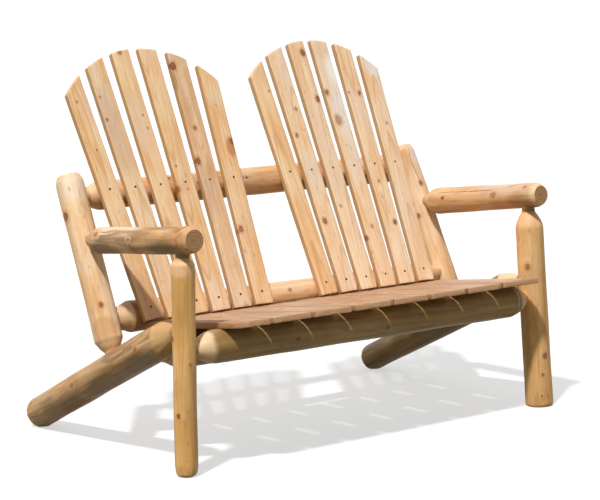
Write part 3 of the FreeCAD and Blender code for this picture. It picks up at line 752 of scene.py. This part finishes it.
for node, (look, settings) in logs.items():
    makeLog(node, look, settings)
print("logs made:", len(logs))


# boards
boardShape = {
    "edge": 1.6, "edgeSteps": 2, "gridStep": 7, "sideCuts": 2, "archFrom": 0.6, "cup": 0.5, "cupLevel": 0.4,
    "bow": 0.9, "bowWaves": 4, "crook": 0.7, "crookWaves": 3, "crookShift": 3, "wear": 0.7, "wearLength": 18,
    "wearAcross": 20, "wearWaves": ((1, 60, 1), (0.4, 90, 4)), "wearFrom": 0.9, "wearRise": 10,
    "chips": 0.8, "chipLength": 13, "chipThrough": 90, "chipReach": 3, "uneven": 0, "roundCorner": 0,
    "seedShift": (2.3, 5.1, 0), "knotPixels": (), "washesAndPaintedShade": (), "knotAxis": (0.15, 1, 0.1),
    "knotLength": 1.35, "moreKnots": 0,
}
sameWay = 0.99  # cosine between an edge and the axis that it runs along

# drawn at random where the photograph shows nothing
drawnKnots = {
    "across": (-0.4, 0.4), "along": (0.1, 0.9), "lean": (-0.3, 0.3), "radius": (2.5, 6.5), "length": 1.3,
    "depth": (0.4, 0.8),
}
drawnPith = {"across": (-30, 30), "away": (38, 75), "tilts": ((-2.6, 2.6), (-0.9, 0.9))}


def subdivideAlong(bm, axis, cuts, shortest):
    edges = []
    for edge in bm.edges:
        span = edge.verts[1].co - edge.verts[0].co
        if abs(span[axis]) > shortest and abs(span[axis]) > sameWay * span.length:
            edges.append(edge)
    bmesh.ops.subdivide_edges(bm, edges=edges, cuts=cuts, use_grid_fill=True)


def pixelOnBoard(matrix, size, pixel):
    inverse = matrix.inverted()
    eye = inverse @ cameraPlace
    ray = inverse.to_3x3() @ pixelRay(pixel)
    hit = eye + ray * ((-size.y / 2 - eye.y) / ray.y)
    return Vector((max(-size.x / 2, min(size.x / 2, hit.x)), -size.y / 2, max(0, min(size.z, hit.z))))


def makeBoard(node, look, settings):
    own = {**boardShape, **settings}
    matrix, size, points = readBoard(node, own["outward"])
    rng = random.Random(own["seed"])
    seed = Vector([own["seed"] * shift for shift in own["seedShift"]])
    bm = bmesh.new()
    bmesh.ops.create_cube(bm, size=1)
    bmesh.ops.scale(bm, vec=size, verts=bm.verts)
    bmesh.ops.translate(bm, vec=(0, 0, size.z / 2), verts=bm.verts)
    bmesh.ops.bevel(bm, geom=bm.edges[:] + bm.verts[:], offset=own["edge"] * mm, offset_type="OFFSET",
                    segments=own["edgeSteps"], profile=0.5, affect="EDGES", material=-1, clamp_overlap=True)
    grid = own["gridStep"] * mm
    for axis, cuts in ((2, int(size.z / grid)), (0, int(size.x / grid)), (1, own["sideCuts"])):
        subdivideAlong(bm, axis, cuts, size[axis] / 2)

    ridge = [(x, z) for x, y, z in points if own["arched"] and y < 0 and z > own["archFrom"] * size.z]
    ridge = np.array(sorted(ridge) or [(0, size.z)]).T
    corner = own["roundCorner"] * mm
    early = rng.uniform(-1, 1) * own["uneven"] * mm  # how much sooner the board's front end comes
    for vert in bm.verts:
        x, y, z = vert.co
        edgeNear = max(0, abs(x) / (size.x / 2) - own["wearFrom"]) * own["wearRise"]
        worn = 0
        for share, through, times in own["wearWaves"]:
            wave = Vector((x * own["wearAcross"], y * through, z / (own["wearLength"] * mm) * times))
            worn += share * max(0, noise.noise(wave + seed))
        vert.co.x -= math.copysign(own["wear"] * worn * edgeNear, x) * mm
        nearEnd = max(0, 1 - min(z, size.z - z) / (own["chipReach"] * mm))
        chipPlace = Vector((x / (own["chipLength"] * mm), y * own["chipThrough"], 0))
        endPull = own["chips"] * max(0, noise.noise(chipPlace + seed)) * nearEnd * mm
        vert.co.z += endPull if z < size.z / 2 else -endPull
        vert.co.z *= float(np.interp(x, *ridge)) / size.z
        vert.co.z -= early * (1 - z / size.z)
        if corner:
            fromX, fromZ = x + size.x / 2 - corner, z - corner
            if fromX < 0 and fromZ < 0:
                share = max(-fromX, -fromZ) / math.hypot(fromX, fromZ)
                vert.co.x += fromX * (share - 1)
                vert.co.z += fromZ * (share - 1)
        vert.co.y += own["cup"] * mm * ((x / (size.x / 2)) ** 2 - own["cupLevel"])
        vert.co.y += own["bow"] * mm * noise.noise(Vector((0, 0, z * own["bowWaves"])) + seed)
        crook = Vector((own["crookShift"], 0, z * own["crookWaves"]))
        vert.co.x += own["crook"] * mm * noise.noise(crook + seed)

    axis, length = Vector(own["knotAxis"]), own["knotLength"]
    knots = [(pixelOnBoard(matrix, size, pixel), axis, radius * mm, length, depth)
             for pixel, radius, depth in own["knotPixels"]]
    for _ in range(own["moreKnots"]):
        place = Vector((rng.uniform(*drawnKnots["across"]) * size.x, -size.y / 2,
                        rng.uniform(*drawnKnots["along"]) * size.z))
        tilted = Vector((rng.uniform(*drawnKnots["lean"]), 1, 0))
        radius, depth = rng.uniform(*drawnKnots["radius"]) * mm, rng.uniform(*drawnKnots["depth"])
        knots.append((place, tilted, radius, drawnKnots["length"], depth))
    washesAndPaintedShade = [(pixelOnBoard(matrix, size, pixel), extents, tint, share)
              for pixel, extents, tint, share in own["washesAndPaintedShade"]]
    pith = (rng.uniform(*drawnPith["across"]), rng.choice((-1, 1)) * rng.uniform(*drawnPith["away"]))
    look = {**look, "pith": pith, "tilt": [rng.uniform(*tilts) for tilts in drawnPith["tilts"]]}
    title = "planed cedar, " + node.replace("_", " ")
    material = woodMaterial(title, matrix, look, knots, washesAndPaintedShade, own["seed"])
    piece = finishPiece(bm, "board_" + node, matrix, material, node)
    places = [screw for found in screws.values() for screw in found]
    cutHoles(piece, [screw for screw in places if onBoard(matrix, size, screw[0])])


# board colours; the side colour is painted shade on the side faces of every board
honey = {
    **paleLog, "pale": "#f5d1a3", "warm": "#ebba83", "deep": "#d69b5d", "bright": "#fae6c8",
    "late": "#cb9256", "streak": 0.45, "light": 0.45, "figure": 0.5, "fibre": 0.4, "fleck": 0.55,
    "grey": "#e6d5c6", "greyShare": 0.3, "bark": "#c07f4b", "barkFrom": 0.64, "barkShare": 0.4,
    "side": "#b58a52", "sideShadeShare": 0.7, "cut": "#d9b184", "cutShare": 0.25,
    "halo": "#c07438", "knot": "#472612", "knotRed": "#b0622f", "end": "#bd8f5b", "endLate": "#8a6136",
}
creamy = {**honey, "pale": "#f9dcb8", "warm": "#f1c698", "deep": "#dba670", "late": "#d09a62"}
rosy = {**honey, "pale": "#ecc69c", "warm": "#dcaa7c", "deep": "#bf8656", "late": "#b57d4c", "greyShare": 0.5}

# each back slat from the left: its look, its knots as (pixel, radius, depth of colour) and its washes
backSlats = {
    "left": (
        # the first slat's darker lower wash is a painted shadow of the arm
        (honey, (((77, 102), 3, 0.6), ((97, 150), 3, 0.8)),
         (((86, 108), (25, 9, 50), "#eac49c", 0.5), ((150, 300), (40, 20, 90), "#c79a68", 0.5))),
        (honey, (((100, 97), 3, 0.5), ((107, 120), 4, 0.7)),
         (((106, 110), (40, 20, 80), "#d9bda3", 0.8), ((120, 150), (40, 20, 90), "#d9b899", 0.7))),
        (honey, (((119.4, 52), 7, 0.7), ((143, 115), 3, 0.5), ((148, 128), 3, 0.5)),
         (((140, 125), (25, 20, 90), "#ecd2b8", 0.6),)),
        (honey, (((188, 189), 3, 0.6), ((176, 166), 3, 0.7), ((171, 190), 7, 0.6)),
         (((150, 100), (25, 20, 60), "#ecc999", 0.6),)),
        (rosy, (((173, 66), 11, 0.95), ((195, 128), 6, 0.7), ((198, 161), 9, 0.9)),
         (((178, 58), (25, 20, 25), "#d9ab7c", 0.6), ((173, 80), (9, 12, 44), "#96683f", 0.7),
          ((205, 190), (30, 20, 80), "#d3a987", 0.6))),
        (honey, (((232, 141), 8, 0.9), ((241, 229), 8, 0.8), ((238, 232), 5, 0.5)),
         (((214, 95), (25, 20, 40), "#f4ddb9", 0.5), ((231, 147), (15, 12, 30), "#bd6f3d", 0.8))),
    ),
    "right": (
        (honey, (((269, 91), 3, 0.7),), (((262, 70), (30, 20, 40), "#e9bd92", 0.6),)),
        (creamy, (((296, 109), 5, 0.6), ((297, 135.5), 6, 0.7), ((325, 221), 8, 0.8)),
         (((285, 75), (18, 20, 60), "#ecd3bd", 0.7), ((312, 175), (20, 20, 70), "#e2cdb8", 0.5))),
        (creamy, (((302.6, 52.8), 9, 0.9), ((318, 99), 9, 0.9), ((341, 206), 4, 0.5)),
         (((330, 150), (20, 20, 70), "#f1d9bd", 0.5),)),
        (creamy, (((327, 92.4), 7, 0.8), ((338.6, 120), 12, 0.5), ((360, 239), 6, 0.8), ((372, 226), 5, 0.5)),
         (((332, 70), (35, 20, 60), "#fbf5ec", 1.0), ((340, 108), (30, 20, 90), "#f3e9df", 0.9),
          ((355, 160), (28, 20, 70), "#efdcc6", 0.6))),
        (creamy, (((349, 92.4), 3, 0.7), ((359.4, 93), 6, 0.9), ((395, 222), 7, 0.9), ((379, 181), 4, 0.5)),
         (((365, 115), (14, 20, 90), "#ecd2b8", 0.6),)),
        (creamy, (((387, 123), 4, 0.6), ((417, 205), 3, 0.6)),
         (((373, 66), (30, 20, 40), "#ece1d6", 0.9), ((385, 105), (14, 20, 80), "#efd9c0", 0.6))),
    ),
}
firstSeeds = {"back": 60, "seat": 90}
backBoards = {"outward": (0, -1, 0.4), "arched": True}
nodes = [(side, number) for side, fan in backSlats.items() for number in range(len(fan))]
for seed, (side, number) in enumerate(nodes, firstSeeds["back"]):
    look, knotPixels, washesAndPaintedShade = backSlats[side][number]
    makeBoard(f"back_slat_{side}_{number + 1}", look, {
        **backBoards, "seed": seed, "knotPixels": knotPixels, "washesAndPaintedShade": washesAndPaintedShade})
print("back slats made:", len(nodes))

weathered = {
    **honey, "pale": "#c39c78", "warm": "#b28460", "deep": "#9c6b45", "bright": "#d4b997",
    "late": "#85583a", "grey": "#b59d88", "greyShare": 0.5, "bark": "#8a5232", "barkFrom": 0.58,
    "side": "#bb8a60", "streak": 0.7, "figure": 0.7, "end": "#cda077", "endLate": "#94623f",
    "endShare": 0.3, "halo": "#a9623c", "cutShare": 0.1,
}
seatSlats = (  # what is special to each, from the left
    {"roundCorner": 46, "gridStep": 4}, {}, {"moreKnots": 1}, {},
    {"knotPixels": (((403, 299), 6, 0.8),), "moreKnots": 1}, {},
    {"knotPixels": (((469, 290), 6, 0.8),), "moreKnots": 1}, {"knotPixels": (((504, 283), 6, 0.8),)},
)
seatBoards = {
    "outward": (0, 0, 1), "arched": False, "edge": 2.4, "chips": 2.2, "wear": 1.1, "uneven": 2.5,
    "moreKnots": 2,
}
for number, settings in enumerate(seatSlats):
    makeBoard(f"seat_slat_{number + 1}", weathered, {
        **seatBoards, "seed": firstSeeds["seat"] + number, **settings})
print("seat slats made:", len(seatSlats))


# black-oxide wood screws, a little rubbed: dark, half metal, with a dull face
screwLook = {
    "dark": "#1d1712", "rubbed": "#4a3a2c", "rubbedSpan": (0.45, 0.7), "metallic": 0.6, "roughness": 0.5,
    "grain": 0.8, "detail": 2, "reliefStrength": 0.4, "reliefDepth": 0.1,
}


def screwMaterial():
    material, tree = newMaterial("black-oxide steel")
    coordinates = addNode(tree, "ShaderNodeTexCoord")
    grain = addNode(tree, "ShaderNodeTexNoise", {
        "Scale": 1000 / screwLook["grain"], "Detail": screwLook["detail"]},
        {"Vector": coordinates.outputs["Object"]})
    rubbed = addRange(tree, grain, screwLook["rubbedSpan"])
    colour = addMix(tree, rubbed, screwLook["dark"], screwLook["rubbed"])
    bump = addNode(tree, "ShaderNodeBump", {
        "Strength": screwLook["reliefStrength"], "Distance": screwLook["reliefDepth"] * mm},
        {"Height": grain})
    shader = addNode(tree, "ShaderNodeBsdfPrincipled", {
        "Metallic": screwLook["metallic"], "Roughness": screwLook["roughness"]},
        {"Base Color": colour.outputs[2], "Normal": bump})
    addNode(tree, "ShaderNodeOutputMaterial", links={"Surface": shader})
    return material


steel = screwMaterial()
for node in screws:
    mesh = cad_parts[node].data
    mesh.materials.clear()
    mesh.materials.append(steel)


# studio
studio = {
    "floorSize": 160, "floorColour": "#5c5a3a", "floorSeen": "#fbfbfa", "shadowLift": 0.58,
    "skyStrength": 0.34,
    "lamps": {"softSun": {"strength": 3.35, "angle": 3.5, "towards": (-0.5, -0.26, 1.0)},
              "backFill": {"strength": 0.75, "angle": 80, "towards": (0.55, 1.0, 0.5)}},
}


def seenRays(tree):
    # the rays that see the white background: the camera's, and what gloss and glass show of it
    path = addNode(tree, "ShaderNodeLightPath")
    seen = path.outputs["Is Camera Ray"]
    for kind in ("Is Glossy Ray", "Is Transmission Ray"):
        seen = addMath(tree, "MAXIMUM", {0: seen, 1: path.outputs[kind]})
    return seen


def makeStudio():
    bm = bmesh.new()
    bmesh.ops.create_grid(bm, x_segments=1, y_segments=1, size=studio["floorSize"] / 2)
    floor = addMesh("studioFloor", bm)
    material, tree = newMaterial("white paper floor")
    seen = seenRays(tree)
    colour = addMix(tree, seen, studio["floorColour"], studio["floorSeen"])
    paper = addNode(tree, "ShaderNodeBsdfDiffuse", links={"Color": colour.outputs[2]})
    white = addNode(tree, "ShaderNodeEmission", {"Color": (1, 1, 1, 1), "Strength": 1.0})
    lifted = addMath(tree, "MULTIPLY", {0: seen}, studio["shadowLift"])
    shader = addNode(tree, "ShaderNodeMixShader", links={0: lifted, 1: paper, 2: white})
    addNode(tree, "ShaderNodeOutputMaterial", links={"Surface": shader})
    floor.data.materials.append(material)

    world = bpy.data.worlds.new("studioLight")
    bpy.context.scene.world = world
    world.use_nodes = True
    tree = world.node_tree
    tree.nodes.clear()
    strength = addRange(tree, seenRays(tree), (0, 1), (studio["skyStrength"], 1))
    light = addNode(tree, "ShaderNodeBackground", {"Color": (1, 1, 1, 1)}, {"Strength": strength})
    addNode(tree, "ShaderNodeOutputWorld", links={"Surface": light})

    for name, lamp in studio["lamps"].items():
        data = bpy.data.lights.new(name, "SUN")
        data.energy = lamp["strength"]
        data.angle = math.radians(lamp["angle"])
        light = addObject(name, data)
        light.rotation_euler = Vector(lamp["towards"]).to_track_quat("Z", "Y").to_euler()


makeStudio()
placeCamera()
bpy.context.scene.view_settings.view_transform = "Standard"
